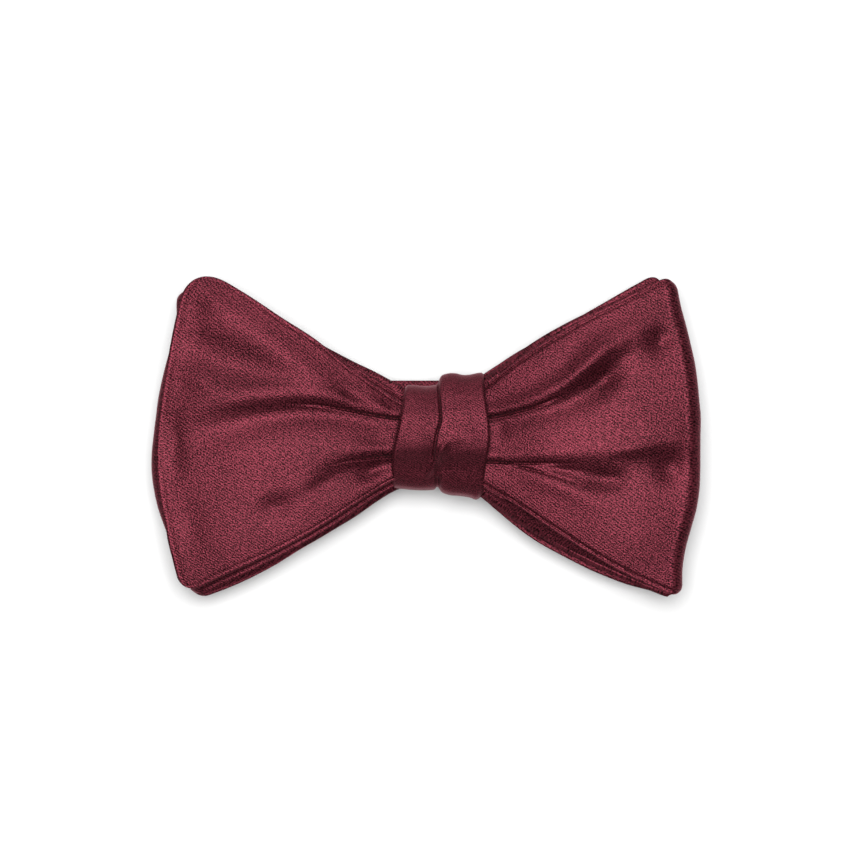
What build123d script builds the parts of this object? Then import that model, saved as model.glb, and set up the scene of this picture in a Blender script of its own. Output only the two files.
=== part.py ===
"""Ready-tied satin bow tie with an adjustable neckband folded flat behind it.

The bow lies on its back: +X across the bow, +Y towards its upper edge, +Z out of its front.
The origin is under the middle of the bow, on the surface that the folded neckband rests on.
All sizes are in millimetres.
"""
from math import radians, tan
from build123d import *
import os

os.makedirs("parts", exist_ok=True)

# the bow, seen from the front
wing_reach = 60.5  # middle line to the outermost edge of a wing
wing_half_height = 36.9  # middle line to the tips of a wing, before they are rounded
wing_bulge = 6.0  # how far the outer edge swells beyond its corners
edge_swell = 1.6  # how far a long edge swells beyond a straight line
corner_radius = 4.0  # rounding of a leaf's outer corners
layer_stagger = 1.2  # each leaf behind shows this much past the leaf before it
waist_half_height = 7.6  # gathered leaves inside the knot
mouth_half_height = 8.8  # gathered leaves where they leave the knot
waist_gap = 0.2  # the two wings end this far from the crease, inside the knot

# cloth layers
satin = 0.35
interlining = 0.5
leaf = 2 * satin + interlining
seam_wall = 0.6  # satin turned in round the edge of a blade
loop_depth = 8.0  # front to back of a folded loop
leaf_gap = 0.8  # air between the blade and the loop beside it

# the knot
knot_left = -7.5
knot_crease = 2.2  # where its two folds meet
knot_right = 13.2
knot_cloth = 1.0
knot_padding = 0.8
tunnel_slack = 1.1  # air above and below the leaves inside the knot
right_fold_extra = 2.0  # the right fold stands taller than the left by this much at each end
knot_round = 3.6  # rounding of the corners around the wrap
fold_round = 2.2  # rounding of the right fold's outer rim
rim_round = 0.7  # rounding of the left fold's outer rim
thread = 0.5
thread_slack = 0.08  # air round a thread

# the neckband and its metal fittings
band_width = 19.0
band_rise = 2.8  # the band runs a little above the middle of the bow
band_cloth = 1.1  # thickness of the finished band
band_core = 0.5  # interlining inside the band
band_seam = 0.7  # satin beyond the edge of the band's interlining
run_gap = 0.4  # air between two runs of the folded band
crossing_gap = 0.15  # air above the strap where it crosses the slide's bar
knot_gap = 0.1  # air between the band and the back of the knot
fold_setback = 7.2  # the folds stay this far inside the wing's edge
inner_turn = 4.3  # the inner folds turn round this distance from the middle
bar_radius = 0.5
metal = 1.0
metal_edge = 0.25  # rounding of the slide's outer corners
rail = 1.1
slip = 0.05  # air between cloth and metal
side_slip = 0.4  # air between the band's edge and a fitting's rail
climb = 52.0  # steepness of the strap where it climbs over the slide's bar
slot_clearance = 0.69  # slot left beyond the foot of the climb
slide_x = 27.0  # middle bar of the slide, along the band
fitting_x = 15.0  # strap bar of the hook and of the ring, each on its own side
ring_window = 3.8
hook_slot = 2.0
hook_plate = 2.0
hook_tongue_width = 7.0
hook_tongue = 4.5  # flat stretch of the tongue before it curls
hook_return = 3.5  # stretch of the tongue behind the curl
hook_mouth = 1.2  # room inside the curl for the ring's rim
sewn_end = 12.0  # strap folded back and sewn down behind the hook
stub = 1.2  # straight cloth at each side of a turn or a crossing

# half heights of the knot, round the leaves that it holds
tunnel_half = mouth_half_height + tunnel_slack + knot_padding
left_fold_half_height = tunnel_half + knot_cloth
right_fold_half_height = left_fold_half_height + right_fold_extra

# heights, from the surface upwards
low_run = band_cloth / 2
turn_radius = bar_radius + slip + band_cloth / 2
fitting_height = low_run + turn_radius
high_run = fitting_height + turn_radius
strap_run = 1.5 * band_cloth + slip
slide_height = strap_run + turn_radius
crossing_radius = bar_radius + slip + band_cloth + slip + band_cloth / 2
crossing_top = slide_height + crossing_radius
run_three = crossing_top + band_cloth + crossing_gap
run_two = run_three + band_cloth + run_gap
run_one = run_two + band_cloth + run_gap
knot_bottom = run_one + band_cloth / 2 + knot_gap
leaf_bottom = knot_bottom + knot_cloth + knot_padding + thread + 2 * thread_slack
left_blade_bottom = leaf_bottom + loop_depth + leaf_gap
right_loop_bottom = leaf_bottom + leaf + leaf_gap
leaf_top = left_blade_bottom + leaf
knot_top = leaf_top + thread + 2 * thread_slack + knot_padding + knot_cloth

# places along the band
fold_tip = wing_reach - fold_setback
outer_fold_radius = (run_one - run_two) / 2
outer_fold_x = fold_tip - outer_fold_radius - band_cloth / 2
crossing_half = crossing_radius * tan(radians(climb / 2))
crossing_foot = crossing_half + (crossing_top - strap_run) / tan(radians(climb))
slot = crossing_foot - bar_radius + slot_clearance
slide_half = bar_radius + slot + rail
tail_foot = crossing_foot - 0.45 * band_cloth  # the tail climbs later than the strap above it
fitting_width = band_width + 2 * side_slip + 2 * rail
band_plane = Plane.XZ.offset(-band_rise)


def leaf_outline(reach, top, bottom, side, inset=0.0):
    """Outline of one leaf of a wing, on the side given by the sign of side."""
    tip_x = reach - inset
    corner_x = tip_x - wing_bulge
    mouth_x = knot_right if side > 0 else -knot_left
    middle_x = (mouth_x + corner_x) / 2
    start = (knot_crease * side + waist_gap + inset, waist_half_height - inset)
    mouth = (mouth_x, mouth_half_height - inset)
    upper = (corner_x, top - inset)
    lower = (corner_x, bottom - inset)
    with BuildSketch() as outline:
        with BuildLine():
            for corner, up in ((upper, 1), (lower, -1)):
                Line((start[0], start[1] * up), (mouth[0], mouth[1] * up))
                ThreePointArc(
                    (mouth[0], mouth[1] * up),
                    (middle_x, ((mouth[1] + corner[1]) / 2 + edge_swell) * up),
                    (corner[0], corner[1] * up),
                )
            ThreePointArc(upper, (tip_x, 0), (lower[0], -lower[1]))
            Line(start, (start[0], -start[1]))
        make_face()
        corners = outline.vertices().filter_by(lambda v: abs(v.X - corner_x) < 0.01)
        fillet(corners, corner_radius)
        if side < 0:
            mirror(about=Plane.YZ, mode=Mode.REPLACE)
    return outline.sketch


def outer_circle(reach, top, bottom, side):
    """Centre and radius of the arc that a leaf's outer edge follows."""
    edge = ThreePointArc((reach - wing_bulge, top), (reach, 0), (reach - wing_bulge, -bottom))
    return (edge.arc_center.X * side, edge.arc_center.Y), edge.radius


def blade(name, reach, top, bottom, side, base):
    """A flat sewn end: two satin panels with turned-in edges and the interlining between them."""
    outline = leaf_outline(reach, top, bottom, side)
    pocket_outline = leaf_outline(reach, top, bottom, side, seam_wall)
    half = leaf / 2
    for panel, height, pocket in (("back", base, base + satin), ("face", base + half, base + half)):
        with BuildPart() as cloth:
            with BuildSketch(Plane.XY.offset(height)):
                add(outline)
            extrude(amount=half)
            with BuildSketch(Plane.XY.offset(pocket)):
                add(pocket_outline)
            extrude(amount=half - satin, mode=Mode.SUBTRACT)
        cloth.part.label = f"{name}_{panel}"
        export_step(cloth.part, f"parts/{name}_{panel}.step")
    with BuildPart() as stiffener:
        with BuildSketch(Plane.XY.offset(base + satin)):
            add(pocket_outline)
        extrude(amount=interlining)
    stiffener.part.label = f"{name}_interlining"
    export_step(stiffener.part, f"parts/{name}_interlining.step")


def loop(name, reach, top, bottom, side, base):
    """A folded end: satin, interlining and lining, one inside the other round the outer edge."""
    outline = leaf_outline(reach, top, bottom, side)
    centre, radius = outer_circle(reach, top, bottom, side)
    layers = (
        ("face", 0, satin),
        ("interlining", satin, satin + interlining),
        ("lining", satin + interlining, leaf),
    )
    for layer, outside, inside in layers:
        with BuildPart() as cloth:
            with BuildSketch(Plane.XY.offset(base + outside)):
                add(outline)
            extrude(amount=loop_depth - 2 * outside)
            with BuildSketch(Plane.XY.offset(base + outside)):
                with Locations(centre):
                    Circle(radius - outside)
            extrude(amount=loop_depth - 2 * outside, mode=Mode.INTERSECT)
            with BuildSketch(Plane.XY.offset(base + inside)):
                with Locations(centre):
                    Circle(radius - inside)
            extrude(amount=loop_depth - 2 * inside, mode=Mode.SUBTRACT)
        cloth.part.label = f"{name}_{layer}"
        export_step(cloth.part, f"parts/{name}_{layer}.step")


blade("front_blade", wing_reach - layer_stagger, wing_half_height, wing_half_height - layer_stagger,
      -1, left_blade_bottom)
loop("rear_loop", wing_reach, wing_half_height - 2 * layer_stagger, wing_half_height,
     -1, leaf_bottom)
loop("front_loop", wing_reach, wing_half_height - layer_stagger, wing_half_height - layer_stagger,
     1, right_loop_bottom)
blade("rear_blade", wing_reach - layer_stagger, wing_half_height, wing_half_height,
      1, leaf_bottom)

# thread wound round the gathered waist, under the knot
binding_places = (-4, -2, 2, 4)
gather_slope = (mouth_half_height - waist_half_height) / (knot_crease - knot_left)
binding_half = waist_half_height + (binding_places[-1] + thread) * gather_slope + thread_slack
binding_middle = (leaf_bottom + leaf_top) / 2
binding_depth = leaf_top - leaf_bottom + 2 * thread_slack
with BuildPart() as waist_binding:
    for place in binding_places:
        with BuildSketch(Plane.YZ.offset(knot_crease + place)):
            with Locations((0, binding_middle)):
                RectangleRounded(2 * binding_half + 2 * thread, binding_depth + 2 * thread, thread)
                Rectangle(2 * binding_half, binding_depth, mode=Mode.SUBTRACT)
        extrude(amount=thread)
waist_binding.part.label = "waist_binding"
export_step(waist_binding.part, "parts/waist_binding.step")

# the knot: one strip of satin wound round the waist with a fold down the middle
knot_middle = (knot_bottom + knot_top) / 2
knot_depth = knot_top - knot_bottom
with BuildPart() as knot_wrap:
    with BuildSketch(Plane.YZ.offset(knot_left)):
        with Locations((0, knot_middle)):
            RectangleRounded(2 * left_fold_half_height, knot_depth, knot_round)
    extrude(amount=knot_crease - knot_left)
    with BuildSketch(Plane.YZ.offset(knot_crease)):
        with Locations((0, knot_middle)):
            RectangleRounded(2 * right_fold_half_height, knot_depth, knot_round)
    extrude(amount=knot_right - knot_crease)
    fillet(knot_wrap.edges().group_by(Axis.X)[0], rim_round)
    fillet(knot_wrap.edges().group_by(Axis.X)[-1], fold_round)
    with BuildSketch(Plane.YZ.offset(knot_left)):
        with Locations((0, knot_middle)):
            RectangleRounded(2 * tunnel_half, knot_depth - 2 * knot_cloth, knot_round - knot_cloth)
    extrude(amount=knot_right - knot_left, mode=Mode.SUBTRACT)
knot_wrap.part.label = "knot_wrap"
export_step(knot_wrap.part, "parts/knot_wrap.step")

with BuildPart() as knot_interlining:
    with BuildSketch(Plane.YZ.offset(knot_left + fold_round / 2)):
        with Locations((0, knot_middle)):
            RectangleRounded(2 * tunnel_half, knot_depth - 2 * knot_cloth, knot_round - knot_cloth)
            RectangleRounded(
                2 * (tunnel_half - knot_padding),
                knot_depth - 2 * (knot_cloth + knot_padding),
                knot_round - knot_cloth - knot_padding,
                mode=Mode.SUBTRACT,
            )
    extrude(amount=knot_right - knot_left - fold_round)
knot_interlining.part.label = "knot_interlining"
export_step(knot_interlining.part, "parts/knot_interlining.step")

# hand stitches that close the wrap, low on the left fold's lower side
stitch_length = 1.2
stitch_pitch = 1.3
stitch_count = 5
stitch_round = 0.16
with BuildPart() as wrap_stitches:
    with BuildSketch(Plane.XZ.offset(left_fold_half_height)):
        with Locations(((knot_left + knot_crease) / 2, knot_bottom + knot_round + stitch_length / 2)):
            with GridLocations(stitch_pitch, stitch_length, stitch_count, 1):
                RectangleRounded(thread, stitch_length, stitch_round)
    extrude(amount=thread)
wrap_stitches.part.label = "wrap_stitches"
export_step(wrap_stitches.part, "parts/wrap_stitches.step")


def strap(name, path, core):
    """A length of neckband along a path in the band's long section, with a core if it holds one."""
    with BuildPart() as cloth:
        with BuildSketch(band_plane):
            trace(path, band_cloth)
        extrude(amount=band_width / 2, both=True)
        if core:
            with BuildSketch(band_plane):
                trace(path, band_core)
            extrude(amount=band_width / 2 - band_seam, both=True, mode=Mode.SUBTRACT)
    cloth.part.label = name
    export_step(cloth.part, f"parts/{name}.step")
    if core:
        with BuildPart() as stiffener:
            with BuildSketch(band_plane):
                trace(path, band_core)
            extrude(amount=band_width / 2 - band_seam, both=True)
        stiffener.part.label = core
        export_step(stiffener.part, f"parts/{core}.step")


# the run behind the knot, with the upper half of each outer fold
with BuildLine() as center_path:
    CenterArc((-outer_fold_x, run_one - outer_fold_radius), outer_fold_radius, 180, -90)
    Line((-outer_fold_x, run_one), (outer_fold_x, run_one))
    CenterArc((outer_fold_x, run_one - outer_fold_radius), outer_fold_radius, 90, -90)
strap("center_band", center_path.line, "center_band_interlining")


def folded_runs(last_run):
    """The path of three stacked runs, from the outer fold down to the height of the last run."""
    inner_radius = (run_two - run_three) / 2
    last_radius = (run_three - last_run) / 2
    last_x = fold_tip - last_radius - band_cloth / 2
    with BuildLine() as runs:
        CenterArc((outer_fold_x, run_one - outer_fold_radius), outer_fold_radius, 0, -90)
        Line((outer_fold_x, run_two), (inner_turn, run_two))
        CenterArc((inner_turn, run_two - inner_radius), inner_radius, 90, 180)
        Line((inner_turn, run_three), (last_x, run_three))
        CenterArc((last_x, run_three - last_radius), last_radius, 90, -180)
    return runs.line, last_x


# the slide's side: its last run is threaded through the slide and turns back in the ring
slide_runs, slide_last_x = folded_runs(strap_run)
strap("slide_band", slide_runs, "slide_band_interlining")

crossing_end = slide_half + stub / 2
with BuildLine() as near_path:
    Line((slide_last_x, strap_run), (slide_x + crossing_end, strap_run))
strap("strap_near_run", near_path.line, None)

with BuildLine() as crossing_path:
    Polyline(
        (slide_x + crossing_end, strap_run),
        (slide_x + crossing_foot, strap_run),
        (slide_x + crossing_half, crossing_top),
        (slide_x - crossing_half, crossing_top),
        (slide_x - crossing_foot, strap_run),
        (slide_x - crossing_end, strap_run),
    )
strap("strap_crossing", crossing_path.line, None)

with BuildLine() as far_path:
    Polyline(
        (slide_x - crossing_end, strap_run),
        (slide_x - crossing_end - stub / 2, strap_run),
        (fitting_x + 1.5 * stub, high_run),
        (fitting_x + stub, high_run),
    )
strap("strap_far_run", far_path.line, None)

with BuildLine() as turn_path:
    Line((fitting_x + stub, high_run), (fitting_x, high_run))
    CenterArc((fitting_x, fitting_height), turn_radius, 90, 180)
    Line((fitting_x, low_run), (fitting_x + stub, low_run))
strap("ring_turn", turn_path.line, None)

with BuildLine() as tail_path:
    Line((fitting_x + stub, low_run), (slide_x - crossing_end, low_run))
strap("tail_run", tail_path.line, None)

with BuildPart() as tail_loop:
    with BuildSketch(band_plane):
        with BuildLine() as tail_end:
            Polyline(
                (slide_x - crossing_end, low_run),
                (slide_x - tail_foot, low_run),
                (slide_x - stub, strap_run),
                (slide_x, strap_run),
            )
        trace(tail_end.line, band_cloth)
        with Locations((slide_x, slide_height)):
            Circle(turn_radius + band_cloth / 2)
            Circle(turn_radius - band_cloth / 2, mode=Mode.SUBTRACT)
    extrude(amount=band_width / 2, both=True)
tail_loop.part.label = "tail_loop"
export_step(tail_loop.part, "parts/tail_loop.step")

window_width = band_width + 2 * side_slip
with BuildPart() as band_slide:
    with BuildSketch(Plane.XY.offset(slide_height - metal / 2)):
        with Locations((slide_x, band_rise)):
            RectangleRounded(2 * slide_half, fitting_width, rail)
            Rectangle(2 * (slide_half - rail), window_width, mode=Mode.SUBTRACT)
    extrude(amount=metal)
    fillet(band_slide.edges().filter_by(GeomType.CIRCLE), metal_edge)
    with BuildSketch(band_plane):
        with Locations((slide_x, slide_height)):
            Circle(bar_radius)
    extrude(amount=window_width / 2 + rail / 2, both=True)
band_slide.part.label = "band_slide"
export_step(band_slide.part, "parts/band_slide.step")

ring_length = bar_radius + ring_window + rail
with BuildPart() as neck_ring:
    with BuildSketch(Plane.XY.offset(fitting_height - metal / 2)):
        with Locations((fitting_x - ring_length / 2, band_rise)):
            RectangleRounded(ring_length, fitting_width, rail)
        with Locations((fitting_x - ring_window / 2, band_rise)):
            Rectangle(ring_window + 2 * bar_radius, window_width, mode=Mode.SUBTRACT)
    extrude(amount=metal)
    with BuildSketch(band_plane):
        with Locations((fitting_x, fitting_height)):
            Circle(bar_radius)
    extrude(amount=fitting_width / 2, both=True)
neck_ring.part.label = "neck_ring"
export_step(neck_ring.part, "parts/neck_ring.step")

# the hook's side: its last run turns round the hook's bar and is sewn back on itself
hook_runs, hook_last_x = folded_runs(high_run)
with BuildLine() as hook_path:
    add(hook_runs)
    Line((hook_last_x, high_run), (fitting_x, high_run))
    CenterArc((fitting_x, fitting_height), turn_radius, 90, 180)
    Line((fitting_x, low_run), (fitting_x + sewn_end, low_run))
with BuildLine() as hook_path_left:
    mirror(hook_path.line, about=Plane.YZ)
strap("hook_band", hook_path_left.line, "hook_band_interlining")

# close stitches that hold the turned-back end, across the band
tack_height = 0.3
tack_length = 1.4
tack_pitch = 2.2
tack_count = 8
with BuildPart() as hook_bar_tack:
    with BuildSketch(Plane.XY.offset(high_run + band_cloth / 2)):
        with Locations((-fitting_x - sewn_end + tack_length, band_rise)):
            with GridLocations(tack_length, tack_pitch, 1, tack_count):
                RectangleRounded(tack_length, thread, stitch_round)
    extrude(amount=tack_height)
hook_bar_tack.part.label = "hook_bar_tack"
export_step(hook_bar_tack.part, "parts/hook_bar_tack.step")

plate_start = bar_radius + hook_slot
plate_end = plate_start + hook_plate
curl_radius = metal / 2 + hook_mouth / 2
curl_x = -fitting_x + plate_end + hook_tongue
curl_top = fitting_height + 2 * curl_radius
with BuildPart() as neck_hook:
    with BuildSketch(Plane.XY.offset(fitting_height - metal / 2)):
        with Locations((-fitting_x + plate_end / 2, band_rise)):
            RectangleRounded(plate_end, fitting_width, rail)
        with Locations((-fitting_x + plate_start / 2 - bar_radius / 2, band_rise)):
            Rectangle(plate_start + bar_radius, window_width, mode=Mode.SUBTRACT)
    extrude(amount=metal)
    with BuildSketch(band_plane):
        with Locations((-fitting_x, fitting_height)):
            Circle(bar_radius)
    extrude(amount=fitting_width / 2, both=True)
    with BuildSketch(band_plane):
        with BuildLine() as tongue_path:
            Line((-fitting_x + plate_start + hook_plate / 2, fitting_height), (curl_x, fitting_height))
            CenterArc((curl_x, fitting_height + curl_radius), curl_radius, -90, 180)
            Line((curl_x, curl_top), (curl_x - hook_return, curl_top))
        trace(tongue_path.line, metal)
    extrude(amount=hook_tongue_width / 2, both=True)
neck_hook.part.label = "neck_hook"
export_step(neck_hook.part, "parts/neck_hook.step")
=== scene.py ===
import bpy
import math
import numpy as np
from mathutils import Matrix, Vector


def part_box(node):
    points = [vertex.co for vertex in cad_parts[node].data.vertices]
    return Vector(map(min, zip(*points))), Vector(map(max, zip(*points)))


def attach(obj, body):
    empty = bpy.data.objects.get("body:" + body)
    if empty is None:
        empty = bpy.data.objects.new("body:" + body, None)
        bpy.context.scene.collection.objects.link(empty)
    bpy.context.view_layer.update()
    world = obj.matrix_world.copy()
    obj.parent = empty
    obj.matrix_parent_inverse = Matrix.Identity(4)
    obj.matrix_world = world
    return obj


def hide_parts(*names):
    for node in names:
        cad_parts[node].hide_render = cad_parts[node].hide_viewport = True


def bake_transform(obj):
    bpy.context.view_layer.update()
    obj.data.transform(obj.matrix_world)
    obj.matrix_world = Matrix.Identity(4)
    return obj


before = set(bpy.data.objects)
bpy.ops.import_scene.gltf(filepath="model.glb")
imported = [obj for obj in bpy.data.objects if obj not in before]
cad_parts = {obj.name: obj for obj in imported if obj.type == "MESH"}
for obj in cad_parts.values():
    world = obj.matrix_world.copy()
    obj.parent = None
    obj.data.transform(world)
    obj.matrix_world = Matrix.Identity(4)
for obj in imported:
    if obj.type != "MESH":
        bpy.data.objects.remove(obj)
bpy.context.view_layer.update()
for loaded in bpy.context.selected_objects:
    loaded.select_set(False)
print("frame loaded")

mm = 0.001
tiny = 1e-12


class Wire:
    # one value in a shader, with the sums that are done to it
    def __init__(self, tree, socket):
        self.tree = tree
        self.socket = socket

    def output(self, index):
        return Wire(self.tree, self.socket.node.outputs[index])

    def maths(self, operation, second=None):
        node = self.tree.nodes.new("ShaderNodeMath")
        node.operation = operation
        self.tree.links.new(self.socket, node.inputs[0])
        if second is not None:
            setInput(self.tree, node.inputs[1], second)
        return Wire(self.tree, node.outputs[0])

    def __add__(self, other):
        return self.maths("ADD", other)

    def __sub__(self, other):
        return self.maths("SUBTRACT", other)

    def __mul__(self, other):
        return self.maths("MULTIPLY", other)

    def sine(self):
        return self.maths("SINE")

    def stripes(self):
        # a wave that runs from 0 to 1
        return self.sine() * 0.5 + 0.5


def setInput(tree, socket, value):
    if isinstance(value, Wire):
        tree.links.new(value.socket, socket)
    else:
        socket.default_value = value


class Finish:
    def __init__(self, name):
        self.material = bpy.data.materials.new(name)
        self.material.use_nodes = True
        self.tree = self.material.node_tree
        self.shader = self.tree.nodes["Principled BSDF"]

    def node(self, kind, settings=None, values=None, output=0):
        made = self.tree.nodes.new(kind)
        for key, value in (settings or {}).items():
            setattr(made, key, value)
        for key, value in (values or {}).items():
            setInput(self.tree, made.inputs[key], value)
        return Wire(self.tree, made.outputs[output])

    def noise(self, place, scale, detail):
        return self.node("ShaderNodeTexNoise", {}, {"Vector": place, "Scale": scale, "Detail": detail})

    def mix(self, factor, first, second):
        return self.node("ShaderNodeMix", {"data_type": "RGBA"}, {0: factor, 6: first, 7: second}, 2)

    def bump(self, height, depth, strength):
        return self.node("ShaderNodeBump", {}, {"Strength": strength, "Distance": depth, "Height": height})

    def feed(self, name, value):
        setInput(self.tree, self.shader.inputs[name], value)


# the weave follows the cloth: its UV map holds metres along and across the strip
satinLook = {
    "dark": (0.0040, 0.0002, 0.0006, 1),
    "light": (0.104, 0.0155, 0.0250, 1),
    "threadPitch": 0.56 * mm,
    "ribPitch": 0.9 * mm,
    "twillWay": (0.62, 0.78),
    "counterWay": (0.83, 0.56),
    "counterRate": 1.31,
    "grainScale": 3300.0,
    "slubScale": 900.0,
    "cloudScale": 60.0,
    "twill": 0.55,
    "counter": 0.10,
    "grain": 4.6,
    "slub": 0.8,
    "level": 0.17,
    "contrast": 0.85,
    "cloud": 0.45,
    "toneLevel": 0.03,
    "ribTone": 0.45,
    "roughness": 0.42,
    "roughnessSpread": 0.16,
    "bumpDepth": 0.1 * mm,
    "bumpStrength": 0.6,
    "weaveBump": 0.5,
    "ribBump": 0.6,
    "metallic": 0.7,
    "specular": 0.22,
    "specularTint": (1.0, 0.55, 0.6, 1),
    "sheen": 0.03,
    "sheenRoughness": 0.4,
    "sheenTint": (0.85, 0.40, 0.46, 1),
}


def satinFinish(look):
    cloth = Finish("burgundy satin")
    place = cloth.node("ShaderNodeUVMap", {"uv_map": "weave"})
    along = cloth.node("ShaderNodeSeparateXYZ", {}, {"Vector": place})
    across = along.output(1)
    turn = 2 * math.pi / look["threadPitch"]
    twillX, twillY = look["twillWay"]
    twill = ((along * twillX + across * twillY) * turn).stripes()
    counterX, counterY = look["counterWay"]
    counter = ((along * counterX - across * counterY) * (turn * look["counterRate"])).stripes()
    grain = cloth.noise(place, look["grainScale"], 2.0)
    slub = cloth.noise(place, look["slubScale"], 2.0)
    cloud = cloth.noise(place, look["cloudScale"], 2.0)
    weave = twill * look["twill"] + counter * look["counter"] + (grain - 0.5) * look["grain"]
    weave = weave + (slub - 0.5) * look["slub"] + look["level"]
    # the sewn edges show the rows of stitches as ribs
    edge = cloth.node("ShaderNodeAttribute", {"attribute_name": "seam"}, {}, 2)
    ribs = (along * (2 * math.pi / look["ribPitch"])).stripes()
    tone = weave * look["contrast"] + (cloud - 0.5) * look["cloud"] + look["toneLevel"]
    tone = tone + edge * (ribs * look["ribTone"])
    cloth.feed("Base Color", cloth.mix(tone, look["dark"], look["light"]))
    smoothest = look["roughness"] - look["roughnessSpread"] / 2
    cloth.feed("Roughness", grain * look["roughnessSpread"] + smoothest)
    relief = weave * look["weaveBump"] + edge * (ribs * look["ribBump"])
    cloth.feed("Normal", cloth.bump(relief, look["bumpDepth"], look["bumpStrength"]))
    cloth.feed("Metallic", look["metallic"])
    cloth.feed("Specular IOR Level", look["specular"])
    cloth.feed("Specular Tint", look["specularTint"])
    cloth.feed("Sheen Weight", look["sheen"])
    cloth.feed("Sheen Roughness", look["sheenRoughness"])
    cloth.feed("Sheen Tint", look["sheenTint"])
    return cloth.material


nickelLook = {
    "dull": (0.55, 0.54, 0.52, 1),
    "bright": (0.78, 0.77, 0.75, 1),
    "streakScale": 1400.0,
    "wearScale": 160.0,
    "roughness": 0.12,
    "streaks": 0.12,
    "wear": 0.12,
    "bumpDepth": 0.02 * mm,
    "bumpStrength": 0.2,
}


def nickelFinish(look):
    plate = Finish("bright nickel")
    place = plate.node("ShaderNodeTexCoord", {}, {}, 3)
    streaks = plate.noise(place, look["streakScale"], 4.0)
    wear = plate.noise(place, look["wearScale"], 3.0)
    plate.feed("Base Color", plate.mix(wear, look["dull"], look["bright"]))
    plate.feed("Roughness", streaks * look["streaks"] + wear * look["wear"] + look["roughness"])
    plate.feed("Normal", plate.bump(streaks, look["bumpDepth"], look["bumpStrength"]))
    plate.feed("Metallic", 1.0)
    return plate.material


threadLook = {
    "dark": (0.05, 0.008, 0.012, 1),
    "light": (0.15, 0.03, 0.042, 1),
    "plyScale": 900.0,
    "plyWobble": 1.5,
    "roughness": 0.5,
    "roughnessSpread": 0.2,
    "bumpDepth": 0.08 * mm,
    "bumpStrength": 0.6,
}


def threadFinish(look):
    thread = Finish("sewing thread")
    place = thread.node("ShaderNodeTexCoord", {}, {}, 3)
    twist = {"Vector": place, "Scale": look["plyScale"], "Distortion": look["plyWobble"]}
    ply = thread.node("ShaderNodeTexWave", {"bands_direction": "DIAGONAL"}, twist, 1)
    thread.feed("Base Color", thread.mix(ply, look["dark"], look["light"]))
    thread.feed("Roughness", ply * look["roughnessSpread"] + look["roughness"])
    thread.feed("Normal", thread.bump(ply, look["bumpDepth"], look["bumpStrength"]))
    return thread.material


satin = satinFinish(satinLook)
nickel = nickelFinish(nickelLook)
sewingThread = threadFinish(threadLook)
print("materials made")


def curveThrough(points):
    # a smooth function through listed (where, value) points
    where = np.array([p[0] for p in points], float)
    value = np.array([p[1] for p in points], float)
    order = np.argsort(where)
    where, value = where[order], value[order]
    slope = np.gradient(value, where)

    def at(x):
        x = np.clip(x, where[0], where[-1])
        i = np.clip(np.searchsorted(where, x) - 1, 0, len(where) - 2)
        width = where[i + 1] - where[i]
        t = (x - where[i]) / width
        a, b = value[i], value[i + 1]
        return (a * (1 + 2 * t) * (1 - t) ** 2 + b * t * t * (3 - 2 * t)
                + width * slope[i] * t * (1 - t) ** 2 + width * slope[i + 1] * t * t * (t - 1))
    return at


def edgeThrough(points):
    # an (x, y) edge from the knot outwards, by its share of the way
    places = np.array(points, float)
    steps = np.r_[0, np.cumsum(np.hypot(*np.diff(places, axis=0).T))]
    share = steps / steps[-1]
    return (curveThrough(list(zip(share, places[:, 0]))), curveThrough(list(zip(share, places[:, 1]))))


def closedCurve(points):
    # a smooth closed line through (y, z) points, by its share of the way round
    points = np.array(points, float)
    count = len(points)

    def at(share):
        place = (share % 1.0) * count
        i = np.floor(place).astype(int) % count
        t = (place - np.floor(place))[..., None]
        a, b, c, d = points[i - 1], points[i], points[(i + 1) % count], points[(i + 2) % count]
        bend = (2 * a - 5 * b + 4 * c - d) * t * t + (3 * b - a - 3 * c + d) * t ** 3
        return 0.5 * (2 * b + (c - a) * t + bend)
    return at


def smooth(t):
    t = np.clip(t, 0, 1)
    return t * t * (3 - 2 * t)


def hump(distance, width):
    return np.exp(-(distance / width) ** 2)


def foldHeight(x, y, folds):
    # each fold lifts the cloth above its line and sinks it below, most near the knot
    height = np.zeros_like(x)
    for fold in folds:
        far, *columns = np.array(fold["line"]).T
        middle, lift, sink, width, depth = [curveThrough(list(zip(far, column)))(x) for column in columns]
        beyond = np.maximum(np.maximum(far.min() - x, x - far.max()), 0)
        fade = hump(beyond, fold["fade"])
        t = (y - middle) / width
        wave = t * np.exp(0.5 - 0.5 * t * t)
        height += fade * (np.where(t > 0, lift, sink) * wave - depth * hump(y - middle, fold["groove"]))
    return height


def dentHeight(x, y, dents):
    # soft rises and hollows: place, height, the two half sizes and the turn in degrees
    height = np.zeros_like(x)
    for centreX, centreY, depth, longHalf, shortHalf, turn in dents:
        c, s = math.cos(math.radians(turn)), math.sin(math.radians(turn))
        a = ((x - centreX) * c + (y - centreY) * s) / longHalf
        b = (-(x - centreX) * s + (y - centreY) * c) / shortHalf
        height += depth * np.exp(-(a * a + b * b))
    return height


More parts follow.
